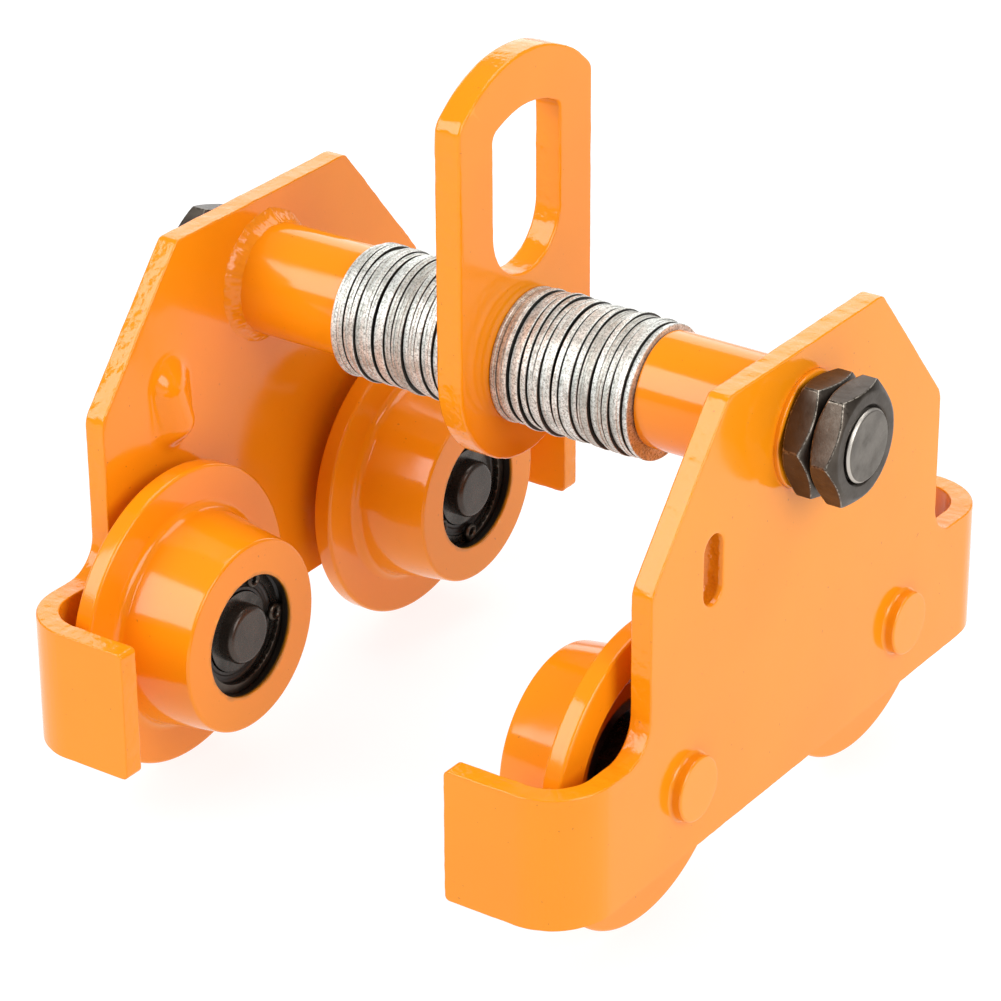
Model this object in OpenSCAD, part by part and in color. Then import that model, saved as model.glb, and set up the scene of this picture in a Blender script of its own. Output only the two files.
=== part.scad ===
// Push beam trolley, standing on its four wheel flanges with the lifting eye up.
// X runs along the spindle, Y is the direction of travel and Z is up.
// The origin is on the ground, midway between the side plates and between the wheels.
// Left is -X, front is -Y. All sizes are in millimetres.

/* [Side plates] */
// Gap between the inner faces of the two side plates
plate_gap = 169; // [164:1:190]
// Thickness of the plates
plate_t = 6.4; // [5:0.2:8]
// Height of a plate from its lower edge to its top edge
plate_h = 124; // [121:1:140]
// Width of the top edge
plate_top_w = 76; // [60:1:90]
// Width between the two upright edges
plate_w = 144; // [140:1:150]
// Height of the shoulders, where the upright edges meet the slopes
shoulder_h = 83; // [75:1:90]

/* [Bumper ears] */
// Distance between the outer faces of the front and back ears
bumper_span = 214.6; // [212:0.2:230]
// Height of the ears
ear_h = 38; // [30:1:45]
// Gap between the free ends of the left and right ears
ear_gap = 104; // [100:1:120]
// Inner radius of the bend between plate and ear
bend_r = 11.6; // [8:0.2:13]
// Radius of the corner between an upright edge and the top of an ear
notch_r = 10; // [6:1:12]

/* [Pressed stop] */
// Width of the recess pressed into the outer face
stop_w = 9; // [8:1:12]
// Length of the recess
stop_l = 20; // [16:1:22]
// Depth of the recess
stop_depth = 5; // [3:0.5:6]
// Distance of the recess in front of the spindle
stop_y = 43.7; // [40:0.1:46]
// Height of the middle of the recess above the lower edge
stop_h = 78.4; // [76:0.2:80]

/* [Spindle] */
// Diameter of the spindle
spindle_d = 20; // [18:0.5:20]
// Length of the spindle
spindle_l = 219.2; // [216:0.2:240]
// Height of the spindle above the lower edge of the plates
spindle_h = 100.6; // [99:0.2:104]
// Width across the flats of the nuts
nut_af = 30; // [30:0.5:32]
// Thickness of each nut
nut_t = 8; // [7:0.1:8]

/* [Spacer tubes] */
// Outer diameter of the tubes welded through the plates
tube_d = 32; // [30:0.5:36]
// Bore of the tubes
tube_bore = 21; // [20.5:0.25:23]
// Distance from the middle of the trolley to the free end of a tube
tube_reach = 48; // [44:1:60]
// How far a tube stands out of the plate's outer face
tube_stub = 1.3; // [0.5:0.1:1.5]

/* [Spacing washers] */
// Number of washers on each side of the eye
washer_n = 22; // [10:1:24]
// Outer diameter of a washer
washer_d = 38.2; // [34:0.2:40]
// Bore of a washer
washer_bore = 23; // [23:0.5:25]

/* [Lifting eye] */
// Thickness of the eye plate
eye_t = 8.3; // [6:0.1:10]
// Width of the eye plate
eye_w = 61; // [56:1:64]
// Height of the top of the eye above the spindle
eye_top = 84.8; // [82:0.1:100]
// Radius of the arched top
eye_arc_r = 42; // [38:1:50]
// Width of the slot for the hook
slot_w = 30.8; // [24:0.2:34]
// Height of the bottom of the slot above the spindle
slot_low = 22.6; // [22:0.1:30]
// Height of the top of the slot above the spindle
slot_high = 70; // [64:0.1:71]

/* [Wheels] */
// Diameter over the wheel flange
flange_d = 86.2; // [84:0.2:90]
// Thickness of the wheel flange
flange_t = 5.7; // [5:0.1:6]
// Diameter of the tread where it meets the flange
tread_root_d = 62; // [60:0.5:64]
// Diameter of the tread at its free end
tread_end_d = 55.2; // [54:0.2:58]
// Width of a whole wheel
wheel_w = 27.8; // [27:0.1:28]
// Gap between the back of a wheel and its plate
wheel_clear = 5.9; // [4:0.1:8]
// Distance between the front and back axles
wheelbase = 107.8; // [105:0.2:110]
// Height of the axles above the lower edge of the plates
axle_h = 20.5; // [18:0.5:22]
// Diameter of the recess in the back of a wheel
dish_d = 65; // [62:1:68]
// Depth of the recess
dish_depth = 6.6; // [5:0.1:7]

/* [Bearings] */
// Bore of the ball bearing
bearing_bore = 17; // [16:0.5:17]
// Outer diameter of the ball bearing
bearing_d = 35; // [35:0.5:36]
// Width of the ball bearing
bearing_w = 10; // [10:0.5:10.5]
// Number of balls
ball_n = 10; // [8:1:11]
// Diameter of a ball
ball_d = 4.66; // [4.5:0.02:4.7]
// How far the bore ring sits inside the wheel
circlip_inset = 3.2; // [3:0.1:3.5]

/* [Hidden] */
$fn = 96;
eps = 0.02;
flange_r = flange_d / 2;
axle_z = flange_r;
plate_z = axle_z - axle_h;
spindle_z = plate_z + spindle_h;
plate_in = plate_gap / 2;
plate_out = plate_in + plate_t;
ear_out = bumper_span / 2;
ear_in = ear_out - plate_t;
bend_y = ear_in - bend_r;
bend_x = plate_in - bend_r;

// Sizes that follow the stop pressed through the plate
boss_w = stop_w + 7;
boss_h = 4;

// Sizes along the spindle
side_gap = 0.15;
washer_pitch = (tube_reach - eye_t / 2 - side_gap) / washer_n;
washer_t = washer_pitch - 0.08;
nut_x = plate_out + tube_stub + 0.2;
lock_nut_x = nut_x + nut_t + 0.15;
weld_on_plate = 2.2;
weld_on_tube = 3;

// Sizes along a wheel, measured from its free end towards the plate
wheel_x = plate_in - wheel_clear - wheel_w;
flange_s = wheel_w - flange_t;
dish_s = wheel_w - dish_depth;
bore_clip_t = 1.5;
bearing_s = circlip_inset + bore_clip_t + eps;
lip_s = bearing_s + bearing_w;
lip_r = 15.7;
axle_inset = 0.4;
plate_s = plate_in - wheel_x;
collar_r = 11;
tail_r = 8.6;
tail_out = 3.4;

// Sizes inside a bearing
pitch_r = (bearing_bore + bearing_d) / 4;
race_r = ball_d / 2 + 0.12;
land_in = pitch_r - 1.5;
land_out = pitch_r + 1.5;
seal_t = 0.8;
seal_inset = 0.5;
seal_seat_r = 15.1;

PAINT = [1.0, 0.52, 0.08];
BLACK = [0.22, 0.20, 0.18];
STEEL = [0.62, 0.60, 0.56];
ZINC = [0.78, 0.77, 0.74];
RUBBER = [0.08, 0.08, 0.08];

// The wheel corners: name, side along X, end along Y, turn of the bore ring
CORNERS = [
    ["front_left", -1, -1, 58],
    ["back_left", -1, 1, 208],
    ["front_right", 1, -1, 70],
    ["back_right", 1, 1, 150]
];
FRAME_NODES = [
    "left_side_plate", "right_side_plate", "left_spacer_tube", "right_spacer_tube",
    "left_tube_weld", "right_tube_weld", "spindle", "lifting_eye", "left_washers", "right_washers",
    "left_nut", "left_lock_nut", "right_nut", "right_lock_nut"
];
WHEEL_NODES = [
    "wheel", "axle", "bearing_outer_ring", "bearing_inner_ring", "bearing_balls",
    "bearing_cage", "bearing_seals", "bore_circlip"
];

// Stands a flat outline up in the YZ plane at x and gives it a thickness towards +X
module upright(x, thickness) {
    translate([x, 0, 0]) rotate([90, 0, 90]) linear_extrude(thickness) children();
}

// Turns something modelled along +Z so that it points along the spindle, outwards on its side
module along_spindle(side, x) {
    translate([side * x, 0, spindle_z]) rotate([0, side * 90, 0]) children();
}

// Puts a wheel part, modelled along +Z from the free end of the wheel, at its corner
module at_corner(c) {
    translate([c[1] * wheel_x, c[2] * wheelbase / 2, axle_z]) rotate([0, c[1] * 90, 0]) children();
}

// A ring round Z from height z0 to z1
module ring(r_out, r_in, z0, z1) {
    difference() {
        translate([0, 0, z0]) cylinder(r = r_out, h = z1 - z0);
        translate([0, 0, z0 - 1]) cylinder(r = r_in, h = z1 - z0 + 2);
    }
}

// An upright outline with a round lower end centred at y0 and a shallow arch reaching up to top
module arched(half_w, y0, top, arc_r, corner_r) {
    mid = top - arc_r;
    corner_x = half_w - corner_r;
    corner_y = mid + sqrt(pow(arc_r - corner_r, 2) - pow(corner_x, 2));
    reach = corner_x * arc_r / (arc_r - corner_r);
    translate([0, y0]) circle(half_w);
    translate([-half_w, y0]) square([2 * half_w, corner_y - y0]);
    for (side = [-1, 1]) translate([side * corner_x, corner_y]) circle(corner_r);
    intersection() {
        translate([0, mid]) circle(arc_r);
        translate([-reach, y0]) square([2 * reach, top]);
    }
}

// A long boss with round ends and sloping sides, rising from z = 0, its length along Y
module tapered_boss(w0, w1, l0, h) {
    straight = l0 - w0;
    for (end = [-1, 1]) translate([0, end * straight / 2, 0]) cylinder(r1 = w0 / 2, r2 = w1 / 2, h = h);
    rotate([90, 0, 0]) linear_extrude(straight, center = true)
        polygon([[-w0 / 2, 0], [w0 / 2, 0], [w1 / 2, h], [-w1 / 2, h]]);
}

// Puts the pressed stop on a plate, at distance x, rising towards -X (dir -1) or +X (dir 1)
module at_stop(x, dir) {
    translate([x, -stop_y, plate_z + stop_h]) scale([dir, 1, 1]) rotate([90, 0, 90]) children();
}

// The flat part of a plate, with the rounded corners where the ears begin
module plate_outline() {
    polygon([
        [-plate_w / 2, 0], [plate_w / 2, 0], [plate_w / 2, shoulder_h],
        [plate_top_w / 2, plate_h], [-plate_top_w / 2, plate_h], [-plate_w / 2, shoulder_h]
    ]);
    translate([-bend_y, 0]) square([2 * bend_y, ear_h]);
    for (end = [-1, 1]) scale([end, 1]) difference() {
        translate([plate_w / 2 - 1, ear_h - 1]) square(notch_r + 1);
        translate([plate_w / 2 + notch_r, ear_h + notch_r]) circle(notch_r);
    }
}

// One bumper ear: a quarter bend and the flat that reaches in past the wheel
module ear(end) {
    translate([bend_x, end * bend_y, plate_z]) intersection() {
        ring(bend_r + plate_t, bend_r, 0, ear_h);
        scale([1, end, 1]) cube([100, 100, ear_h]);
    }
    translate([ear_gap / 2, end > 0 ? ear_in : -ear_out, plate_z])
        cube([bend_x - ear_gap / 2, plate_t, ear_h]);
}

module side_plate() {
    color(PAINT) difference() {
        union() {
            translate([0, 0, plate_z]) upright(plate_in, plate_t) plate_outline();
            for (end = [-1, 1]) ear(end);
            at_stop(plate_in + 1, -1) tapered_boss(boss_w + 1, boss_w - 3, stop_l + 7, boss_h + 1);
        }
        at_stop(plate_out + 1, -1) tapered_boss(stop_w + 0.4, stop_w - 2, stop_l + 0.4, stop_depth + 1);
        along_spindle(1, plate_in - 1) cylinder(r = tube_d / 2 + eps, h = plate_t + 2);
        for (end = [-1, 1]) translate([plate_in - 1, end * wheelbase / 2, axle_z])
            rotate([0, 90, 0]) cylinder(r = tail_r + eps, h = plate_t + 2);
    }
}

module spacer_tube(side) {
    length = plate_out + tube_stub - tube_reach;
    color(PAINT) along_spindle(side, tube_reach) ring(tube_d / 2, tube_bore / 2, 0, length);
}

// The fillet weld that joins a tube to the inner face of its plate
module tube_weld(side) {
    color(PAINT) along_spindle(side, plate_in) rotate_extrude() polygon([
        [tube_d / 2 + eps, 0], [tube_d / 2 + weld_on_plate, 0],
        [tube_d / 2 + weld_on_plate * 0.6, -weld_on_tube * 0.6], [tube_d / 2 + eps, -weld_on_tube]
    ]);
}

module spindle() {
    chamfer = 1;
    r = spindle_d / 2;
    color(STEEL) translate([0, 0, spindle_z]) rotate([0, 90, 0]) union() {
        cylinder(r = r, h = spindle_l - 2 * chamfer, center = true);
        for (end = [-1, 1]) rotate([end > 0 ? 0 : 180, 0, 0])
            translate([0, 0, spindle_l / 2 - chamfer]) cylinder(r1 = r, r2 = r - chamfer * 0.7, h = chamfer);
    }
}

module lifting_eye() {
    color(PAINT) difference() {
        translate([0, 0, spindle_z]) upright(-eye_t / 2, eye_t) difference() {
            arched(eye_w / 2, 0, eye_top, eye_arc_r, 5);
            arched(slot_w / 2, slot_low + slot_w / 2, slot_high, eye_arc_r - 12, 3);
        }
        along_spindle(1, -eye_t) cylinder(r = spindle_d / 2 + 0.08, h = 2 * eye_t);
    }
}

// The washers hang on the spindle by their bores, each a little to one side
module washers(side) {
    for (i = [0 : washer_n - 1]) {
        drop = 1.15 + 0.2 * cos(i * 101);
        sway = 0.35 * sin(i * 137 + side * 40);
        start = eye_t / 2 + side_gap + i * washer_pitch;
        color(ZINC) translate([0, sway, -drop]) along_spindle(side, start)
            ring(washer_d / 2, washer_bore / 2, 0, washer_t);
    }
}

// A hexagon nut chamfered on both faces, from z = 0, turned by an angle
module hex_nut(turn) {
    corner_r = nut_af / 2 / cos(30);
    face_r = nut_af * 0.475;
    fall = (corner_r + 0.2 - face_r) * tan(30);
    bore_r = spindle_d / 2 + 0.05;
    color(BLACK) difference() {
        intersection() {
            rotate([0, 0, turn]) cylinder(r = corner_r, h = nut_t, $fn = 6);
            rotate_extrude() polygon([
                [0, 0], [face_r, 0], [corner_r + 0.2, fall],
                [corner_r + 0.2, nut_t - fall], [face_r, nut_t], [0, nut_t]
            ]);
        }
        translate([0, 0, -1]) cylinder(r = bore_r, h = nut_t + 2);
        translate([0, 0, -eps]) cylinder(r1 = bore_r + 0.8, r2 = bore_r, h = 0.8);
        translate([0, 0, nut_t - 0.8 + eps]) cylinder(r1 = bore_r, r2 = bore_r + 0.8, h = 0.8);
    }
}

// A wheel: cone tread, flange, bearing bore with its ring groove, and a dished back
module wheel() {
    root = 3;
    edge = 0.8;
    end_r = tread_end_d / 2;
    root_r = tread_root_d / 2;
    color(PAINT) difference() {
        rotate_extrude() polygon([
            [0, 0], [end_r - edge, 0], [end_r - edge * 0.3, edge * 0.3], [end_r, edge],
            [root_r, flange_s - root], [root_r + root * 0.3, flange_s - root * 0.3],
            [root_r + root, flange_s],
            [flange_r - edge, flange_s], [flange_r - edge * 0.3, flange_s + edge * 0.3],
            [flange_r, flange_s + edge], [flange_r, wheel_w - edge],
            [flange_r - edge * 0.3, wheel_w - edge * 0.3], [flange_r - edge, wheel_w], [0, wheel_w]
        ]);
        translate([0, 0, -1]) cylinder(r = bearing_d / 2, h = lip_s + 1);
        translate([0, 0, circlip_inset - 0.05]) cylinder(r = bearing_d / 2 + 1, h = bore_clip_t + 0.1);
        cylinder(r = lip_r, h = wheel_w);
        translate([0, 0, dish_s]) cylinder(r1 = 24, r2 = dish_d / 2 + 0.2, h = dish_depth + 0.15);
    }
}

// A stepped axle: the bearing is pressed onto the shank, and the collar keeps it off the plate
module axle() {
    chamfer = 0.8;
    shank_r = bearing_bore / 2 - eps / 2;
    color(STEEL) rotate_extrude() polygon([
        [0, axle_inset], [shank_r - chamfer, axle_inset], [shank_r, axle_inset + chamfer],
        [shank_r, lip_s],
        [collar_r, lip_s], [collar_r, plate_s], [tail_r, plate_s],
        [tail_r, plate_s + plate_t + tail_out - chamfer],
        [tail_r - chamfer, plate_s + plate_t + tail_out], [0, plate_s + plate_t + tail_out]
    ]);
}

// The round groove that the balls run in
module ball_track() {
    translate([0, 0, bearing_s + bearing_w / 2]) rotate_extrude()
        translate([pitch_r, 0]) circle(race_r, $fn = 48);
}

module bearing_outer_ring() {
    far = bearing_s + bearing_w;
    seat = seal_inset + seal_t + 0.1;
    color(STEEL) difference() {
        ring(bearing_d / 2 - eps / 2, land_out, bearing_s, far);
        ball_track();
        translate([0, 0, bearing_s - 1]) cylinder(r = seal_seat_r, h = 1 + seat);
        translate([0, 0, far - seat]) cylinder(r = seal_seat_r, h = 1 + seat);
    }
}

module bearing_inner_ring() {
    color(STEEL) difference() {
        ring(land_in, bearing_bore / 2, bearing_s, bearing_s + bearing_w);
        ball_track();
    }
}

module each_ball() {
    for (i = [0 : ball_n - 1]) rotate([0, 0, i * 360 / ball_n])
        translate([pitch_r, 0, bearing_s + bearing_w / 2]) children();
}

module bearing_balls() {
    color(STEEL) each_ball() sphere(d = ball_d, $fn = 48);
}

module bearing_cage() {
    half = ball_d / 2 + 0.6;
    mid = bearing_s + bearing_w / 2;
    color(BLACK) difference() {
        ring(land_out - 0.5, land_in + 0.5, mid - half, mid + half);
        each_ball() rotate([0, 90, 0]) cylinder(d = ball_d + 0.1, h = 8, center = true);
    }
}

// The two rubber seals that close a bearing
module bearing_seals() {
    far = bearing_s + bearing_w;
    color(RUBBER) {
        ring(seal_seat_r - eps, land_in + 0.25, bearing_s + seal_inset, bearing_s + seal_inset + seal_t);
        ring(seal_seat_r - eps, land_in + 0.25, far - seal_inset - seal_t, far - seal_inset);
    }
}

// A wedge that opens a circlip's gap, pointing along +X
module gap_wedge(angle) {
    polygon([[0, 0], [40 * cos(angle), -40 * sin(angle)], [40 * cos(angle), 40 * sin(angle)]]);
}

// The ring that holds the bearing in the wheel, with two eyelets beside its gap
module bore_circlip(turn) {
    lug_at = 33;
    color(BLACK) translate([0, 0, circlip_inset]) rotate([0, 0, turn])
    linear_extrude(bore_clip_t) difference() {
        union() {
            difference() {
                circle(bearing_d / 2 + 0.9);
                translate([1.2, 0]) circle(15.7);
                gap_wedge(lug_at - 5);
            }
            for (a = [-lug_at, lug_at]) rotate(a) translate([15.2, 0]) circle(2.5);
        }
        for (a = [-lug_at, lug_at]) rotate(a) translate([15.2, 0]) circle(1.2);
    }
}

mirror([1, 0, 0]) side_plate();  // left_side_plate
side_plate();  // right_side_plate
spacer_tube(-1);  // left_spacer_tube
spacer_tube(1);  // right_spacer_tube
tube_weld(-1);  // left_tube_weld
tube_weld(1);  // right_tube_weld
spindle();
lifting_eye();
washers(-1);  // left_washers
washers(1);  // right_washers
along_spindle(-1, nut_x) hex_nut(12);  // left_nut
along_spindle(-1, lock_nut_x) hex_nut(47);  // left_lock_nut
along_spindle(1, nut_x) hex_nut(26);  // right_nut
along_spindle(1, lock_nut_x) hex_nut(32);  // right_lock_nut
for (c = CORNERS) {
    at_corner(c) wheel();
    at_corner(c) axle();
    at_corner(c) bearing_outer_ring();
    at_corner(c) bearing_inner_ring();
    at_corner(c) bearing_balls();
    at_corner(c) bearing_cage();
    at_corner(c) bearing_seals();
    at_corner(c) bore_circlip(c[3]);
}
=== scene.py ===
"""Push beam trolley, dressed for the picture. Sizes are in millimetres until a mesh is made."""

import math
import random

import bmesh
import bpy
from mathutils import Matrix, Vector, geometry, noise


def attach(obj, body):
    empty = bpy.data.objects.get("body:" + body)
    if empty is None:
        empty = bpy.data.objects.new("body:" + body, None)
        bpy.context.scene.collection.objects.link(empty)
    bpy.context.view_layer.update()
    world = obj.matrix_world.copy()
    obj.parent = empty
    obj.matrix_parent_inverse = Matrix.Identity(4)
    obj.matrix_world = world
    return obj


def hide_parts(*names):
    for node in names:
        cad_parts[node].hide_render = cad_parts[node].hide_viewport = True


MM = 0.001
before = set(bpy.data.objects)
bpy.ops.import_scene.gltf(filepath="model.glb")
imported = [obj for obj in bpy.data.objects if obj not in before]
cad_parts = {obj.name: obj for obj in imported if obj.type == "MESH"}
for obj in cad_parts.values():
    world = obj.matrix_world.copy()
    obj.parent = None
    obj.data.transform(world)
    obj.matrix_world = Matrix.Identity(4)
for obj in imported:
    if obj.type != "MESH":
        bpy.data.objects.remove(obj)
bpy.context.view_layer.update()
random.seed(7)

# Sizes shared with the design
PLATE_IN, PLATE_T, PLATE_Z, PLATE_H = 84.5, 6.4, 22.6, 124.0
PLATE_OUT = PLATE_IN + PLATE_T
PLATE_W, TOP_W, SHOULDER_H = 144.0, 76.0, 83.0
EAR_OUT, EAR_H, EAR_END, BEND_R, NOTCH_R = 107.3, 38.0, 52.0, 11.6, 10.0
BEND_OUT = BEND_R + PLATE_T
BEND_Y, BEND_X = EAR_OUT - BEND_OUT, PLATE_IN - BEND_R
SPINDLE_Z, AXLE_Z, AXLE_Y, WHEEL_X = 123.2, 43.1, 53.9, 50.8
STOP_Y, STOP_Z, STOP_HALF_W, STOP_HALF_L = -43.7, 78.4, 4.5, 10.0
SPINDLE_R, SPINDLE_HALF, THREAD_START = 10.0, 109.6, 88.0
EYE_T, EYE_GAP = 8.3, 0.15
TUBE_R, TUBE_START, TUBE_END = 16.0, 48.0, 92.2
WASHER_COUNT, WASHER_R, WASHER_BORE_R = 22, 18.9, 11.5
NUT_FLAT_R, NUT_T, NUT_BORE_R = 15.0, 8.0, 10.06

# Side (-1 is left) and end (-1 is front) of each wheel
CORNERS = {"front_left": (-1, -1), "back_left": (-1, 1), "front_right": (1, -1), "back_right": (1, 1)}


# ---------------------------------------------------------------- outlines


def rounded(corners, step=2.0, arc=0.5):
    """A closed outline through corners (x, y, radius), with points at most step apart."""
    points = []
    count = len(corners)
    for i in range(count):
        before, here, after = (Vector(corners[j % count][:2]) for j in (i - 1, i, i + 1))
        radius = corners[i][2]
        to_before, to_after = (before - here).normalized(), (after - here).normalized()
        if radius <= 0:
            points.append(here)
            continue
        half = to_before.angle(to_after) / 2
        centre = here + (to_before + to_after).normalized() * (radius / math.sin(half))
        start = here + to_before * (radius / math.tan(half)) - centre
        end = here + to_after * (radius / math.tan(half)) - centre
        turn = math.atan2(start.x * end.y - start.y * end.x, start.dot(end))
        parts = max(4, math.ceil(abs(turn) * radius / arc))
        for k in range(parts + 1):
            points.append(centre + Matrix.Rotation(turn * k / parts, 2) @ start)
    dense = []
    for i, point in enumerate(points):
        following = points[(i + 1) % len(points)]
        gap = (following - point).length
        if gap < 1e-4:
            continue
        parts = max(1, math.ceil(gap / step))
        dense += [point.lerp(following, k / parts) for k in range(parts)]
    return dense


def obround(half_w, half_h, x=0.0, y=0.0, step=1.0):
    """A box with fully round ends, or a circle when the two sizes are the same."""
    r = min(half_w, half_h)
    corners = [(x - half_w, y - half_h, r), (x + half_w, y - half_h, r)]
    corners += [(x + half_w, y + half_h, r), (x - half_w, y + half_h, r)]
    return rounded(corners, step)


def grown(loop, distances):
    """The loop moved outwards by one distance, or by one distance for each point."""
    if not isinstance(distances, list):
        distances = [distances] * len(loop)
    out = []
    for i, point in enumerate(loop):
        along = (loop[(i + 1) % len(loop)] - loop[i - 1]).normalized()
        out.append(point + Vector((along.y, -along.x)) * distances[i])
    return out


def edge_levels(thick, r, walls=3, parts=4):
    """(offset, depth, share of cut face) down a rounded edge from one face to the other."""
    down = []
    for k in range(parts + 1):
        a = math.pi / 2 * k / parts
        down.append((-r * (1 - math.sin(a)), r * (1 - math.cos(a)), k / parts))
    middle = [(0.0, r + (thick - 2 * r) * k / walls, 1.0) for k in range(1, walls)]
    return down + middle + [(o, thick - d, m) for o, d, m in reversed(down)]


# ---------------------------------------------------------------- meshes


def bridge(bm, one, two):
    count = len(one)
    for i in range(count):
        j = (i + 1) % count
        bm.faces.new((one[i], one[j], two[j], two[i]))


def stack(bm, layer, loops):
    """Joins loops of (points, height, mark) one after the other and returns their vertices."""
    rows = []
    for points, height, mark in loops:
        row = [bm.verts.new((p.x, p.y, height)) for p in points]
        for vert in row:
            vert[layer] = mark
        rows.append(row)
    for one, two in zip(rows, rows[1:]):
        bridge(bm, one, two)
    return rows


def inside(spot, loop):
    """Whether a spot lies inside a closed loop of points."""
    hit = False
    for a, b in zip(loop, loop[1:] + loop[:1]):
        if (a.y > spot.y) == (b.y > spot.y):
            continue
        if spot.x < a.x + (spot.y - a.y) * (b.x - a.x) / (b.y - a.y):
            hit = not hit
    return hit


def cap(bm, *rows):
    """Fills the flat face between an outer row of vertices and the rows of its holes."""
    verts = [vert for row in rows for vert in row]
    points = [Vector(vert.co[:2]) for vert in verts]
    edges, loops, start = [], [], 0
    for row in rows:
        count = len(row)
        edges += [(start + i, start + (i + 1) % count) for i in range(count)]
        loops.append(points[start : start + count])
        start += count
    spots, _, faces, sources = geometry.delaunay_2d_cdt(points, edges, [], 0, 1e-6)[:4]
    for face in faces:
        middle = sum((spots[i] for i in face), Vector((0, 0))) / len(face)
        if inside(middle, loops[0]) and not any(inside(middle, hole) for hole in loops[1:]):
            bm.faces.new([verts[sources[i][0]] for i in face])


def wrap(bm, rows, closed=True):
    """Joins rows that stand round an axis; a closed row also runs from its end back to its start."""
    for one, two in zip(rows, rows[1:] + rows[:1]):
        for i in range(len(one) if closed else len(one) - 1):
            j = (i + 1) % len(one)
            bm.faces.new((one[i], one[j], two[j], two[i]))


def ripple(loop, size, seed):
    """How far a sheared or flame-cut edge stands out at each point of a loop."""
    out = []
    for p in loop:
        fine = noise.noise(Vector((p.x * 0.55, p.y * 0.55, seed)))
        broad = noise.noise(Vector((p.x * 0.16, p.y * 0.16, seed + 9)))
        out.append(size * (0.6 * fine + broad))
    return out


def cut_wall(bm, layer, loop, thick, r, size, seed, outer=True):
    """The rounded, slightly rippled edge of a plate along a loop, with a flat margin on both faces."""
    wave = ripple(loop, size, seed)
    sense = 1 if outer else -1
    margin = -r - 0.7
    levels = [(margin, 0.0, 0.0)] + edge_levels(thick, r) + [(margin, thick, 0.0)]
    loops = []
    for offset, depth, mark in levels:
        share = 0.4 + 0.6 * mark
        drift = [w * share * (1 + 0.35 * math.sin(depth * 1.9 + i * 0.21)) for i, w in enumerate(wave)]
        loops.append((grown(loop, [sense * offset + d for d in drift]), depth, mark))
    return stack(bm, layer, loops)


def to_object(bm, name, place=None):
    """Makes the object, after moving every vertex with place and turning sizes into metres."""
    for vert in bm.verts:
        vert.co = Vector(place(vert.co) if place else vert.co) * MM
    bmesh.ops.remove_doubles(bm, verts=bm.verts[:], dist=1e-7)
    bmesh.ops.recalc_face_normals(bm, faces=bm.faces[:])
    mesh = bpy.data.meshes.new(name)
    bm.to_mesh(mesh)
    bm.free()
    made = bpy.data.objects.new(name, mesh)
    bpy.context.scene.collection.objects.link(made)
    return made


def new_mesh():
    bm = bmesh.new()
    return bm, bm.verts.layers.float.new("mark")


def dress(piece, nodes, body, material):
    """Smooths a piece and hands it to the frame in place of its CAD nodes."""
    for polygon in piece.data.polygons:
        polygon.use_smooth = True
    piece.data.materials.clear()
    piece.data.materials.append(material)
    level = piece.modifiers.new("even_normals", "WEIGHTED_NORMAL")
    level.keep_sharp = True
    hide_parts(*nodes)
    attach(piece, body)


def lathe_into(bm, layer, profile, turns, place, mark=None, closed=True):
    """Turns a profile of (radius, distance) points round the axis; place sets the result down."""
    rows = []
    for k in range(turns):
        a = 2 * math.pi * k / turns
        row = []
        for r, s in profile:
            vert = bm.verts.new(place(Vector((r * math.cos(a), r * math.sin(a), s))))
            vert[layer] = mark(r, s) if mark else 0.0
            row.append(vert)
        rows.append(row)
    wrap(bm, rows, closed)
    return rows


def profile_of(corners, step=2.0):
    return [(p.x, p.y) for p in rounded(corners, step, 0.25)]


def on_spindle(side, x=0.0, y=0.0, z=0.0):
    """Sets down what is modelled along +Z so that it points outwards along the spindle."""
    return lambda p: Vector((side * (x + p.z), y + p.y, SPINDLE_Z + z + p.x))


def on_axle(side, end):
    """Sets down what is modelled along +Z so that it points outwards along a wheel's axle."""
    return lambda p: Vector((side * (WHEEL_X + p.z), end * AXLE_Y + p.y, AXLE_Z + p.x * -side))


# ---------------------------------------------------------------- materials


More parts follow.
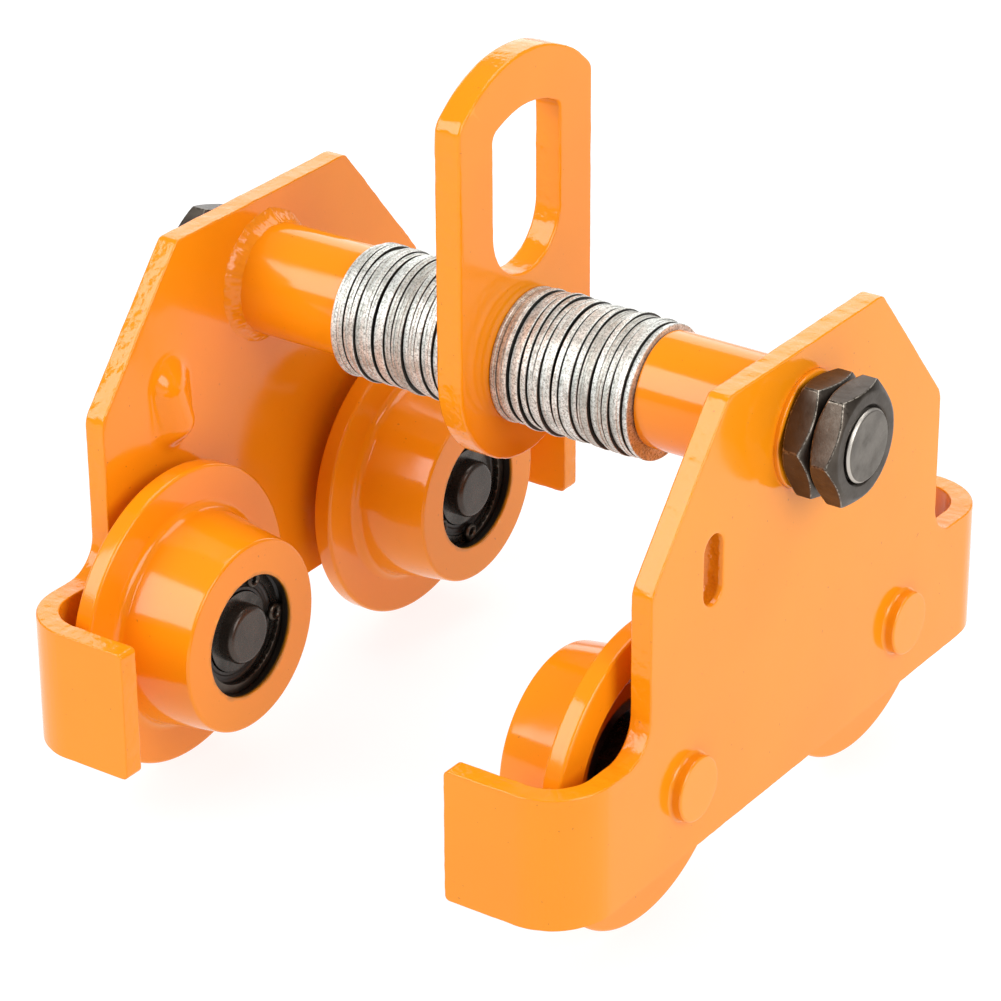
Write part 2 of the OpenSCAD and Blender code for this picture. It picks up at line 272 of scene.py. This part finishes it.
class Finish:
    """A node material with the few building blocks that the finishes share."""

    def __init__(self, name):
        self.material = bpy.data.materials.new(name)
        self.material.use_nodes = True
        self.tree = self.material.node_tree
        self.shader = self.tree.nodes["Principled BSDF"]
        self.where = self.node("ShaderNodeTexCoord").outputs["Object"]

    def node(self, kind, **settings):
        made = self.tree.nodes.new(kind)
        for key, value in settings.items():
            setattr(made, key, value)
        return made

    def feed(self, socket, value):
        if isinstance(value, bpy.types.NodeSocket):
            self.tree.links.new(value, socket)
        elif isinstance(value, tuple) and len(value) == 3 and socket.type == "RGBA":
            socket.default_value = (*value, 1.0)
        else:
            socket.default_value = value

    def set(self, **values):
        for key, value in values.items():
            self.feed(self.shader.inputs[key.replace("_", " ")], value)

    def noise(self, scale, detail=2.0, rough=0.5):
        made = self.node("ShaderNodeTexNoise")
        self.feed(made.inputs["Vector"], self.where)
        made.inputs["Scale"].default_value = scale
        made.inputs["Detail"].default_value = detail
        made.inputs["Roughness"].default_value = rough
        return made.outputs["Fac"]

    def ramp(self, value, low, high, to_low=0.0, to_high=1.0):
        made = self.node("ShaderNodeMapRange")
        for socket, entry in zip(made.inputs, (value, low, high, to_low, to_high)):
            self.feed(socket, entry)
        return made.outputs["Result"]

    def sum(self, operation, one, two):
        made = self.node("ShaderNodeMath", operation=operation)
        self.feed(made.inputs[0], one)
        self.feed(made.inputs[1], two)
        return made.outputs[0]

    def mix(self, share, one, two):
        made = self.node("ShaderNodeMix", data_type="RGBA")
        for socket, entry in zip((made.inputs[0], made.inputs[6], made.inputs[7]), (share, one, two)):
            self.feed(socket, entry)
        return made.outputs[2]

    def mark(self):
        """The number that the shape gives to each vertex: what it means differs by finish."""
        return self.node("ShaderNodeAttribute", attribute_name="mark").outputs["Fac"]

    def edge_wear_and_highlight(self, low, high):
        """How far a spot lies on an outer corner: the enamel's painted highlight, the black steel's rubbed
        wear.
        """
        return self.ramp(self.node("ShaderNodeNewGeometry").outputs["Pointiness"], low, high)

    def bump(self, *heights):
        """Stacks bumps of (height, size in metres) and leads them into the shader."""
        below = None
        for height, size in heights:
            made = self.node("ShaderNodeBump")
            made.inputs["Strength"].default_value = 1.0
            made.inputs["Distance"].default_value = size
            self.feed(made.inputs["Height"], height)
            if below:
                self.feed(made.inputs["Normal"], below)
            below = made.outputs["Normal"]
        self.feed(self.shader.inputs["Normal"], below)


ORANGE = (0.88, 0.278, 0.0055)


def paint(name, greasy=False):
    """Enamel: a mark is the share of cut edge, 2 deep in the stop where shade is painted, or the grease on a
    wheel.
    """
    f = Finish(name)
    tone = f.mix(f.ramp(f.noise(20, 3), 0.3, 0.7), ORANGE, (0.85, 0.255, 0.0045))
    specks = f.ramp(f.noise(700, 2), 0.735, 0.76)
    tone = f.mix(f.sum("MULTIPLY", specks, 0.5), tone, (0.35, 0.09, 0.01))
    # Painted highlight: outer corners of the enamel turned a lighter orange.
    tone = f.mix(f.ramp(f.edge_wear_and_highlight(0.54, 0.62), 0, 1, 0, 0.35), tone, (0.95, 0.42, 0.05))
    gloss = f.ramp(f.noise(70, 4), 0.3, 0.7, 0.09, 0.17)
    mark = f.mark()
    if greasy:
        ragged = f.sum("ADD", mark, f.ramp(f.noise(160, 3), 0.25, 0.75, -0.2, 0.12))
        tone = f.mix(f.ramp(ragged, 0.1, 0.6), tone, (0.24, 0.11, 0.012))
        tone = f.mix(f.ramp(mark, 0.62, 0.9), tone, (0.012, 0.009, 0.007))
        gloss = f.ramp(mark, 0.1, 1.0, gloss, 0.34)
        uneven = [(f.sum("MULTIPLY", f.noise(230, 2), mark), 0.00001)]
    else:
        # Painted shade: a darker, redder orange deep in the stop's recess.
        tone = f.mix(f.ramp(mark, 1.05, 2.0, 0, 0.6), tone, (0.46, 0.11, 0.003))
        uneven = [(f.sum("MULTIPLY", f.noise(480, 3), mark), 0.00012)]
        uneven.append((f.sum("MULTIPLY", f.noise(230, 2), mark), 0.00034))
    f.set(Base_Color=tone, Roughness=gloss, Metallic=0.0, IOR=1.44)
    f.bump((f.noise(48, 2), 0.00012), (f.noise(620, 2), 0.0000055), *uneven)
    return f.material


def zinc():
    """Dull zinc: a mark up to 1 sets a washer's tone, and a mark of 2 paints shade on a face deep in the gap
    between two washers.
    """
    f = Finish("zinc_washers")
    mark = f.mark()
    grain = f.noise(1700, 3, rough=0.8)
    tone = f.mix(f.ramp(f.noise(300, 4), 0.35, 0.68), (0.90, 0.93, 0.89), (0.60, 0.62, 0.58))
    tone = f.mix(f.ramp(mark, 0.5, 1.0, 0.0, 0.5), tone, (0.34, 0.32, 0.27))
    stain = f.sum("MULTIPLY", f.ramp(f.noise(80, 3), 0.56, 0.76), f.ramp(mark, 0.3, 0.9, 0.0, 0.4))
    tone = f.mix(stain, tone, (0.36, 0.24, 0.13))
    tone = f.mix(f.ramp(grain, 0.49, 0.58, 0, 0.66), tone, (0.17, 0.17, 0.145))
    # Painted shade: near black on the washer faces pressed between neighbours.
    tone = f.mix(f.ramp(mark, 1.3, 1.9), tone, (0.03, 0.028, 0.025))
    f.set(Base_Color=tone, Metallic=0.6, Roughness=f.ramp(grain, 0.3, 0.7, 0.28, 0.5))
    f.bump((f.noise(420, 3), 0.00014), (grain, 0.00016))
    return f.material


def black_oxide(name="black_oxide", edge_wear_and_highlight=True):
    """Oiled black steel: a mark is how far handling has rubbed it bright."""
    f = Finish(name)
    grain = f.noise(800, 4, rough=0.65)
    tone = f.mix(f.ramp(f.noise(150, 4), 0.35, 0.7), (0.092, 0.077, 0.063), (0.048, 0.037, 0.028))
    metal = 0.85
    if edge_wear_and_highlight:
        broken = f.ramp(f.noise(900, 4, rough=0.7), 0.44, 0.58)
        rub = f.sum("MULTIPLY", f.ramp(f.mark(), 0.62, 1.05), broken)
        tone = f.mix(rub, tone, (0.5, 0.45, 0.38))
        metal = f.ramp(rub, 0, 1, 0.85, 1.0)
    f.set(Base_Color=tone, Metallic=metal, Roughness=f.ramp(grain, 0.3, 0.7, 0.27, 0.42))
    f.bump((f.noise(200, 3), 0.00008), (grain, 0.00003))
    return f.material


def bare_steel():
    """Turned steel: a mark paints a highlight on the chamfered rim of the spindle's end."""
    f = Finish("bare_steel")
    grain = f.noise(1100, 3, rough=0.7)
    tone = f.mix(f.ramp(f.noise(170, 5), 0.38, 0.66), (0.195, 0.175, 0.152), (0.128, 0.113, 0.096))
    # Painted highlight: a lighter steel tone on the chamfered rim.
    tone = f.mix(f.ramp(f.mark(), 0.3, 0.8), tone, (0.55, 0.51, 0.46))
    f.set(Base_Color=tone, Metallic=0.9, Roughness=f.ramp(grain, 0.3, 0.7, 0.34, 0.5))
    f.bump((f.noise(240, 3), 0.00005), (grain, 0.00003))
    return f.material


def axle_finish():
    """Dark steel inside the wheel, painted where the axle stands out of the plate."""
    f = Finish("axle_steel")
    painted = f.ramp(f.mark(), 0.4, 0.6)
    grain = f.noise(900, 3, rough=0.6)
    steel = f.mix(f.ramp(f.noise(120, 4), 0.35, 0.7), (0.064, 0.048, 0.038), (0.038, 0.029, 0.023))
    f.set(Base_Color=f.mix(painted, steel, ORANGE), Metallic=f.ramp(painted, 0, 1, 0.5, 0.0))
    f.set(Roughness=f.ramp(painted, 0, 1, f.ramp(grain, 0.3, 0.7, 0.22, 0.32), 0.14), IOR=1.5)
    f.bump((f.noise(150, 3), 0.00007), (grain, 0.00001))
    return f.material


def bearing_steel():
    f = Finish("bearing_steel")
    grain = f.noise(1000, 3)
    tone = f.mix(f.ramp(f.noise(150, 3), 0.35, 0.7), (0.10, 0.09, 0.08), (0.035, 0.03, 0.026))
    f.set(Base_Color=tone, Metallic=0.8, Roughness=f.ramp(grain, 0.3, 0.7, 0.2, 0.34))
    f.bump((grain, 0.00001))
    return f.material


def rubber():
    f = Finish("seal_rubber")
    grain = f.noise(700, 3)
    tone = f.mix(f.ramp(f.noise(120, 3), 0.35, 0.7), (0.016, 0.013, 0.011), (0.028, 0.024, 0.02))
    f.set(Base_Color=tone, Roughness=f.ramp(grain, 0.3, 0.7, 0.3, 0.5), IOR=1.45)
    f.bump((f.noise(300, 2), 0.00004), (grain, 0.00002))
    return f.material


PAINT = paint("orange_paint_finish")
WHEEL_PAINT = paint("wheel_paint_finish", greasy=True)
ZINC, BLACK, CLIP_BLACK = zinc(), black_oxide(), black_oxide("spring_black", edge_wear_and_highlight=False)
STEEL, AXLE, BEARING, RUBBER = bare_steel(), axle_finish(), bearing_steel(), rubber()


# ---------------------------------------------------------------- side plates


def stop_loops(levels):
    """Loops of the stop for levels of (half width, depth, how far it leans): the recess is marked for
    painted shade.
    """
    base = obround(STOP_HALF_W, STOP_HALF_L, STOP_Y, STOP_Z, 0.9)
    middle = Vector((STOP_Y, STOP_Z))
    made = []
    for half_w, depth, lean in levels:
        turn = Matrix.Rotation(math.radians(9 * lean), 2)
        shift = middle + Vector((0.7, -0.7)) * lean
        loop = [shift + turn @ (p - middle) for p in grown(base, half_w - STOP_HALF_W)]
        made.append((loop, depth, min(depth / 1.5, 1.0) * 2 if depth < PLATE_T else 0.0))
    return made


def side_plate(side, name):
    """A flat blank with its holes and stop, bent round at both ends into the ears."""
    bm, layer = new_mesh()
    quarter = (BEND_R + PLATE_T / 2) * math.pi / 2
    ear_run = BEND_Y + quarter + BEND_X - EAR_END
    half, top = PLATE_W / 2, TOP_W / 2
    right_half = [(ear_run, 0, 1.6), (ear_run, EAR_H, 1.6), (half, EAR_H, NOTCH_R)]
    right_half += [(half, SHOULDER_H, 7.0), (top, PLATE_H, 2.6)]
    left_half = [(-x, y, r) for x, y, r in reversed(right_half)]
    outline = rounded(right_half + left_half, 1.1)
    edge = cut_wall(bm, layer, outline, PLATE_T, 0.5, 0.18, 3.0 + side)
    front, back = [edge[0]], [edge[-1]]
    holes = [obround(16.03, 16.03, 0, SPINDLE_Z - PLATE_Z, 1.2)]
    for end in (-1, 1):
        holes.append(obround(8.63, 8.63, end * AXLE_Y, AXLE_Z - PLATE_Z, 1.2))
    for loop in holes:
        wall = cut_wall(bm, layer, loop, PLATE_T, 0.2, 0.0, 0.0, outer=False)
        front.append(wall[0])
        back.append(wall[-1])
    # The stop: punched in from the outer face, standing up as a bump on the inner face
    dent = [(5.5, 0.0), (4.85, 0.0), (4.65, 0.08), (4.5, 0.3), (4.4, 1.4)]
    dent += [(4.2, 2.8), (3.9, 4.0), (3.3, 4.7), (2.3, 4.95)]
    rows = stack(bm, layer, stop_loops([(w, z, 0.0) for w, z in dent]))
    front.append(rows[0])
    cap(bm, rows[-1])
    lump = [(10.0, 0.0, 0.0), (8.7, 0.06, 0.2), (7.6, 0.35, 0.5), (6.7, 0.9, 0.8), (5.8, 1.6, 1.15)]
    lump += [(4.9, 2.3, 1.5), (3.9, 2.95, 1.75), (2.9, 3.45, 1.95), (1.9, 3.8, 2.1), (0.9, 4.0, 2.2)]
    rows = stack(bm, layer, stop_loops([(w, PLATE_T + z, lean) for w, z, lean in lump]))
    back.append(rows[0])
    cap(bm, rows[-1])
    cap(bm, *front)
    cap(bm, *back)
    for end in (-1, 1):
        for k in range(17):
            cut = (end * (BEND_Y + quarter * k / 16), 0, 0)
            everything = bm.verts[:] + bm.edges[:] + bm.faces[:]
            bmesh.ops.bisect_plane(bm, geom=everything, dist=1e-5, plane_co=cut, plane_no=(1, 0, 0))

    def bent(p):
        run = abs(p.x) - BEND_Y
        end = 1 if p.x > 0 else -1
        if run <= 0:
            return side * (PLATE_OUT - p.z), p.x, PLATE_Z + p.y
        angle = min(run / quarter, 1.0) * math.pi / 2
        reach = BEND_OUT - p.z
        x = BEND_X + reach * math.cos(angle) - max(0.0, run - quarter)
        return side * x, end * (BEND_Y + reach * math.sin(angle)), PLATE_Z + p.y

    dress(to_object(bm, f"painted_{name}", bent), [name], "frame", PAINT)


side_plate(1, "right_side_plate")
side_plate(-1, "left_side_plate")


# ---------------------------------------------------------------- lifting eye


def arched(half_w, low, top, arc_r, corner_r, step=1.0):
    """An upright outline with a round lower end and a shallow arch on top."""
    mid = top - arc_r
    corner_x = half_w - corner_r
    corner_y = mid + math.sqrt((arc_r - corner_r) ** 2 - corner_x**2)
    lean = math.atan2(corner_x, corner_y - mid)
    points = []
    base = low + half_w

    def sweep(x, y, r, start, end):
        parts = max(5, math.ceil(abs(end - start) * r / step))
        for k in range(parts + 1):
            a = start + (end - start) * k / parts
            spot = Vector((x + r * math.sin(a), y + r * math.cos(a)))
            if not points or (spot - points[-1]).length > 0.05:
                points.append(spot)

    def climb(x, y0, y1):
        parts = math.ceil(abs(y1 - y0) / step)
        points.extend(Vector((x, y0 + (y1 - y0) * k / parts)) for k in range(1, parts))

    sweep(0, base, half_w, 1.5 * math.pi, 0.5 * math.pi)
    climb(half_w, base, corner_y)
    sweep(corner_x, corner_y, corner_r, 0.5 * math.pi, lean)
    sweep(0, mid, arc_r, lean, -lean)
    sweep(-corner_x, corner_y, corner_r, -lean, -0.5 * math.pi)
    climb(-half_w, corner_y, base)
    return points


def lifting_eye():
    bm, layer = new_mesh()
    edge = cut_wall(bm, layer, arched(30.5, -30.5, 84.8, 42, 5), EYE_T, 0.9, 0.2, 21.0)
    slot = cut_wall(bm, layer, arched(15.4, 22.6, 70, 30, 3), EYE_T, 0.8, 0.22, 33.0, outer=False)
    bore = cut_wall(bm, layer, obround(10.08, 10.08), EYE_T, 0.3, 0.0, 0.0, outer=False)
    cap(bm, edge[0], slot[0], bore[0])
    cap(bm, edge[-1], slot[-1], bore[-1])
    made = to_object(bm, "painted_eye", lambda p: (p.z - EYE_T / 2, p.x, SPINDLE_Z + p.y))
    dress(made, ["lifting_eye"], "lifting_eye", PAINT)


lifting_eye()


# ---------------------------------------------------------------- spindle, tubes, welds, washers, nuts


def thread_depth(x, turn):
    """How deep the thread is cut at a distance from the middle and a share of a turn."""
    reach = SPINDLE_HALF - abs(x)
    if abs(x) < THREAD_START or reach <= 0.9:
        return 0.0
    pitch, full = 2.5, 1.1
    phase = (abs(x) / pitch + turn) % 1.0
    deep = full * max(0.0, min(1.0, (abs(phase - 0.5) - 0.08) / 0.32))
    deep = full - deep if deep < full else 0.0
    return deep * min(1.0, (abs(x) - THREAD_START) / 2.0) * min(1.0, (reach - 0.9) / 0.8)


def spindle():
    bm, layer = new_mesh()
    turns, rows, step = 96, [], 0.3125
    threaded = int((SPINDLE_HALF - 1.2 - THREAD_START) / step) + 1
    stops = [0.0, 70.0, 87.9] + [THREAD_START + k * step for k in range(threaded)]
    stops += [SPINDLE_HALF - 1.0, SPINDLE_HALF - 0.75, SPINDLE_HALF - 0.3, SPINDLE_HALF]
    for x in [-x for x in reversed(stops[1:])] + stops:
        row = []
        reach = SPINDLE_HALF - abs(x)
        for k in range(turns):
            a = 2 * math.pi * k / turns
            radius = SPINDLE_R - thread_depth(x, k / turns) - max(0.0, 0.8 - reach) * 0.85
            vert = bm.verts.new((x, radius * math.cos(a), SPINDLE_Z + radius * math.sin(a)))
            # The chamfer at each end is marked for the painted highlight.
            vert[layer] = 1.0 if 0.2 < reach < 0.9 else 0.0
            row.append(vert)
        rows.append(row)
    for one, two in zip(rows, rows[1:]):
        bridge(bm, one, two)
    for row, x in ((rows[0], -SPINDLE_HALF), (rows[-1], SPINDLE_HALF)):
        middle = Vector((x, 0, SPINDLE_Z))
        inner = row
        for share in (0.97, 0.6, 0.25):
            ring = [bm.verts.new(middle + (Vector(vert.co) - middle) * share) for vert in row]
            bridge(bm, inner, ring)
            inner = ring
        bm.faces.new(inner)
    dress(to_object(bm, "turned_spindle"), ["spindle"], "frame", STEEL)


spindle()


def tube(side, word):
    bm, layer = new_mesh()
    corners = [(10.5, TUBE_START, 0.5), (TUBE_R, TUBE_START, 0.8)]
    corners += [(TUBE_R, TUBE_END, 0.5), (10.5, TUBE_END, 0.4)]
    lathe_into(bm, layer, profile_of(corners, 3.0), 128, on_spindle(side))
    made = to_object(bm, f"painted_{word}_spacer_tube")
    dress(made, [f"{word}_spacer_tube"], "frame", PAINT)


def weld(side, word):
    """A hollow, ribbed fillet of weld between tube and plate, with a lump where the bead ends."""
    bm, _ = new_mesh()
    turns, parts, rows = 256, 14, []
    root_r, root_s, hollow = TUBE_R - 0.02, PLATE_IN + 0.02, 2.6
    for k in range(turns):
        a = 2 * math.pi * k / turns
        spot = Vector((3 * math.cos(a), 3 * math.sin(a), 5.0 * side))
        drift = noise.noise(spot) * 0.45
        wave = a * 14 + noise.noise(spot * 1.7) * 6
        lump = 0.5 * math.exp(-((math.remainder(a - 0.1, 2 * math.pi)) / 0.13) ** 2)
        leg_r, leg_s = 3.1 + drift + lump * 0.7, 3.6 + drift * 1.3 + lump
        section = [(root_r, root_s)]
        for j in range(parts + 1):
            t = math.pi / 2 * j / parts
            rib = 0.13 * abs(math.sin(wave + 1.1 * math.sin(2 * t)))
            rib += 0.12 * noise.noise(spot * 4 + Vector((0, 0, 3 * t)))
            rib = (rib + lump * 0.35) * math.sin(2 * t)
            out = leg_r * math.cos(t) ** hollow + rib
            along = leg_s * math.sin(t) ** hollow + rib
            section.append((root_r + out, root_s - along))
        place = on_spindle(side)
        rows.append([bm.verts.new(place(Vector((r * math.cos(a), r * math.sin(a), s)))) for r, s in section])
    wrap(bm, rows)
    made = to_object(bm, f"painted_{word}_tube_weld")
    dress(made, [f"{word}_tube_weld"], "frame", PAINT)


for side, word in ((-1, "left"), (1, "right")):
    tube(side, word)
    weld(side, word)


def washers(side, word):
    """The loose washers of one side, each hanging a little differently on the spindle."""
    bm, layer = new_mesh()
    first = EYE_T / 2 + EYE_GAP
    pitch = (TUBE_START - first) / WASHER_COUNT
    thick = pitch - 0.08
    for i in range(WASHER_COUNT):
        drop = 1.15 + 0.35 * math.cos(math.radians(i * 101))
        sway = 0.5 * math.sin(math.radians(i * 137 + side * 40))
        start = first + i * pitch
        t = thick - random.choice((0.03, 0.07, 0.12, 0.2, 0.34))
        start += random.uniform(0.0, thick - t)
        r_out = WASHER_R - random.uniform(0.0, 0.35)
        tone = random.random()
        flip = random.random() < 0.5
        corners = [(WASHER_BORE_R, 0, 0.15), (r_out, 0, 0.3), (r_out, t * 0.5, 0.06)]
        corners += [(r_out - 0.17, t * 0.56, 0.05), (r_out - 0.2, t, 0.16), (WASHER_BORE_R, t, 0.15)]
        if flip:
            corners = [(r, t - s, q) for r, s, q in reversed(corners)]
        covered = 0 < i < WASHER_COUNT - 1

        # A covered face between two washers is marked for painted shade; every other spot keeps the washer's
        # tone.
        def shade(r, s):
            return 2.0 if covered and min(s, t - s) < 0.03 else tone

        place = on_spindle(side, start, sway, -drop)
        lathe_into(bm, layer, profile_of(corners, 4.0), 112, place, shade)
    made = to_object(bm, f"zinc_{word}_washers")
    dress(made, [f"{word}_washers"], "frame", ZINC)


washers(-1, "left")
washers(1, "right")


def nut(side, x, turn, node):
    """A hexagon nut with both faces chamfered, its edges marked where they are rubbed bright."""
    bm, layer = new_mesh()
    corner = NUT_FLAT_R / math.cos(math.pi / 6)
    angles = [math.radians(turn + 60 * k) for k in range(6)]
    hexagon = rounded([(corner * math.cos(a), corner * math.sin(a), 0.9) for a in angles], 0.7, 0.16)
    face_r, slope, bore = 14.25, math.tan(math.radians(31)), NUT_BORE_R
    place = on_spindle(side, x)
    rows = []
    for p in hexagon:
        reach, way = p.length, p.normalized()
        fall = (reach - face_r) * slope
        half = [(bore, NUT_T / 2, 0.0), (bore, 1.2, 0.0), (bore + 0.15, 0.8, 0.2), (bore + 0.85, 0.12, 0.3)]
        half += [(bore + 1.1, 0.0, 0.3), (face_r - 2, 0.0, 0.0), (face_r - 0.45, 0.0, 0.1)]
        half += [(face_r - 0.1, 0.04, 0.45), (face_r + 0.3, 0.2, 0.2)]
        half += [(reach - 0.35, max(0.22, fall - 0.2), 0.25), (reach - 0.12, fall + 0.02, 0.95)]
        half += [(reach - 0.02, fall + 0.18, 0.9), (reach, fall + 0.5, 0.15), (reach, NUT_T / 2, 0.0)]
        near_corner = max(0.0, min(1.0, (reach - 16.75) / 0.2))
        column = half + [(r, NUT_T - s, m) for r, s, m in reversed(half[1:-1])]
        row = []
        for r, s, m in column:
            vert = bm.verts.new(place(Vector((way.x * r * -side, way.y * r, s))))
            vert[layer] = max(m, near_corner * 0.75 if r > face_r + 0.5 else 0.0)
            row.append(vert)
        rows.append(row)
    wrap(bm, rows)
    dress(to_object(bm, f"black_{node}"), [node], "frame", BLACK)


nut(-1, 92.4, 12, "left_nut")
nut(-1, 100.55, 47, "left_lock_nut")
nut(1, 92.4, 26, "right_nut")
nut(1, 100.55, 32, "right_lock_nut")


# ---------------------------------------------------------------- wheels and what holds them


def soft_stamping(node, body, material, radius):
    """A CAD part with its sharp edges broken by a small bevel."""
    bm = bmesh.new()
    bm.from_mesh(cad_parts[node].data)
    bmesh.ops.remove_doubles(bm, verts=bm.verts[:], dist=3e-6)
    sharp = [e for e in bm.edges if len(e.link_faces) == 2 and e.calc_face_angle(0.0) > 0.7]
    bmesh.ops.bevel(bm, geom=sharp, offset=radius * MM, segments=2, affect="EDGES", clamp_overlap=True)
    mesh = bpy.data.meshes.new(f"soft_{node}")
    bm.to_mesh(mesh)
    bm.free()
    made = bpy.data.objects.new(f"soft_{node}", mesh)
    bpy.context.scene.collection.objects.link(made)
    dress(made, [node], body, material)


def wheel(name, side, end):
    corners = [
        (17.5, 0, 0.35), (27.6, 0, 0.9), (31.0, 22.1, 3.0), (43.1, 22.1, 1.0), (43.1, 27.8, 0.9),
        (32.5, 27.8, 0.7), (24.0, 21.2, 1.0), (15.7, 21.2, 0.3), (15.7, 14.74, 0.15), (17.5, 14.74, 0),
        (17.5, 4.75, 0), (18.5, 4.75, 0), (18.5, 3.15, 0), (17.5, 3.15, 0),
    ]

    def grease(r, s):
        """Black inside the bore, with a thin halo on both ends of the wheel."""
        if r < 18.6 and s > 0.5:
            return 1.0
        if s < 1.0:
            return max(0.0, min(1.0, (18.9 - r) / 1.4)) * 0.4
        if s > 20:
            return max(0.0, min(1.0, (19.0 - r) / 3.0)) * 0.6
        return 0.0

    bm, layer = new_mesh()
    profile = [(p.x, p.y) for p in rounded(corners, 1.3, 0.3)]
    lathe_into(bm, layer, profile, 176, on_axle(side, end), grease)
    made = to_object(bm, f"painted_{name}_wheel")
    dress(made, [f"{name}_wheel"], f"{name}_wheel", WHEEL_PAINT)


def axle(name, side, end):
    """From the free end in the wheel to the painted tail; a small middle disc closes both ends."""
    first, last, middle_r = 0.4, 43.5, 0.6
    corners = [
        (middle_r, first, 0), (8.49, first, 1.7), (8.49, 14.72, 0), (11.0, 14.72, 0.4),
        (11.0, 33.68, 0.2), (8.6, 33.68, 0), (8.6, 39.9, 0), (10.4, 39.99, 0),
        (9.05, 40.12, 1.1), (9.0, last, 0.7), (middle_r, last, 0),
    ]
    bm, layer = new_mesh()
    profile = [(p.x, p.y) for p in rounded(corners, 1.5, 0.2)]
    start = min(range(len(profile)), key=lambda i: (profile[i][0] > middle_r + 0.01, profile[i][1]))
    profile = profile[start:] + profile[:start]
    profile = [
        (r, s) for r, s in profile if r > middle_r + 0.01 or min(abs(s - first), abs(s - last)) < 1e-4
    ]

    def painted(r, s):
        return 1.0 if s > 36 else 0.0

    rows = lathe_into(bm, layer, profile, 112, on_axle(side, end), painted, closed=False)
    for index in (0, -1):
        bm.faces.new([row[index] for row in rows])
    dress(to_object(bm, f"turned_{name}_axle"), [f"{name}_axle"], "frame", AXLE)


def seals(name, side, end):
    bm, layer = new_mesh()
    for start in (5.22, 13.42):
        outer = start > 10
        thick = 0.8
        face = [(11.77, 0.0, 0.1), (12.6, 0.0, 0.2), (13.0, 0.22, 0.2), (14.1, 0.22, 0.2), (14.5, 0.0, 0.2)]
        face += [(15.08, 0.0, 0.1), (15.08, thick, 0.1), (11.77, thick, 0.1)]
        corners = [(r, start + (thick - s if outer else s), q) for r, s, q in face]
        lathe_into(bm, layer, profile_of(corners, 3.0), 112, on_axle(side, end))
    made = to_object(bm, f"rubber_{name}_seals")
    dress(made, [f"{name}_bearing_seals"], f"{name}_wheel", RUBBER)


for name, (side, end) in CORNERS.items():
    wheel(name, side, end)
    axle(name, side, end)
    seals(name, side, end)
    soft_stamping(f"{name}_bore_circlip", f"{name}_wheel", CLIP_BLACK, 0.18)
    for part in ("bearing_outer_ring", "bearing_inner_ring", "bearing_balls", "bearing_cage"):
        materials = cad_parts[f"{name}_{part}"].data.materials
        materials.clear()
        materials.append(BEARING)


# ---------------------------------------------------------------- floor, light and camera


def floor():
    bm, _ = new_mesh()
    radius, angles = 9000, [k * math.pi / 32 for k in range(64)]
    bm.faces.new([bm.verts.new((radius * math.cos(a), radius * math.sin(a), 0)) for a in angles])
    made = to_object(bm, "pale_floor")
    f = Finish("pale_floor")
    tone = f.mix(f.ramp(f.noise(3, 3), 0.3, 0.7), (0.20, 0.20, 0.20), (0.18, 0.18, 0.18))
    f.set(Base_Color=tone, Roughness=f.ramp(f.noise(40, 3), 0.3, 0.7, 0.7, 0.85))
    f.set(Emission_Color=(1.0, 1.0, 1.0), Emission_Strength=0.86)
    f.bump((f.noise(900, 2), 0.00001))
    made.data.materials.append(f.material)


floor()


def softbox(name, place, width, height, power):
    """A rectangular lamp, in metres and watts, turned to the trolley."""
    data = bpy.data.lights.new(name, "AREA")
    data.shape, data.size, data.size_y, data.energy = "RECTANGLE", width, height, power
    made = bpy.data.objects.new(name, data)
    bpy.context.scene.collection.objects.link(made)
    made.location = place
    made.rotation_euler = (Vector((0, 0, 0.08)) - Vector(place)).to_track_quat("-Z", "Y").to_euler()


softbox("key", (-0.5, -0.87, 0.8), 0.8, 0.8, 11.5)
softbox("right", (1.2, -0.25, 0.7), 0.8, 0.9, 12.5)
softbox("top", (0.1, 0.5, 1.4), 1.2, 0.8, 10)
softbox("back", (-0.8, 1.15, 0.62), 2.0, 0.9, 11)

world = bpy.data.worlds.new("studio")
world.use_nodes = True
sky = world.node_tree.nodes["Background"].inputs
sky["Color"].default_value = (1.0, 1.0, 1.0, 1.0)
sky["Strength"].default_value = 0.24
bpy.context.scene.world = world
bpy.context.scene.view_settings.view_transform = "Standard"
bpy.context.scene.view_settings.look = "None"


def camera():
    """A long lens, set by azimuth, elevation and roll, and by the spot that it aims at."""
    data = bpy.data.cameras.new("camera")
    data.sensor_width, data.lens, data.clip_end = 36.0, 146.92, 100.0
    made = bpy.data.objects.new("camera", data)
    bpy.context.scene.collection.objects.link(made)
    a, e, roll = math.radians(35.01), math.radians(26.695), math.radians(-0.314)
    back = Vector((math.sin(a) * math.cos(e), -math.cos(a) * math.cos(e), math.sin(e)))
    right = Vector((math.cos(a), math.sin(a), 0))
    up = back.cross(right)
    right, up = right * math.cos(roll) + up * math.sin(roll), up * math.cos(roll) - right * math.sin(roll)
    aim, away = Vector((-143.613, 197.765, -46.168)), 1390.137
    turn = Matrix((right, up, back)).transposed().to_4x4()
    made.matrix_world = Matrix.Translation((aim + back * away) * MM) @ turn
    bpy.context.scene.camera = made


camera()

bpy.context.view_layer.update()
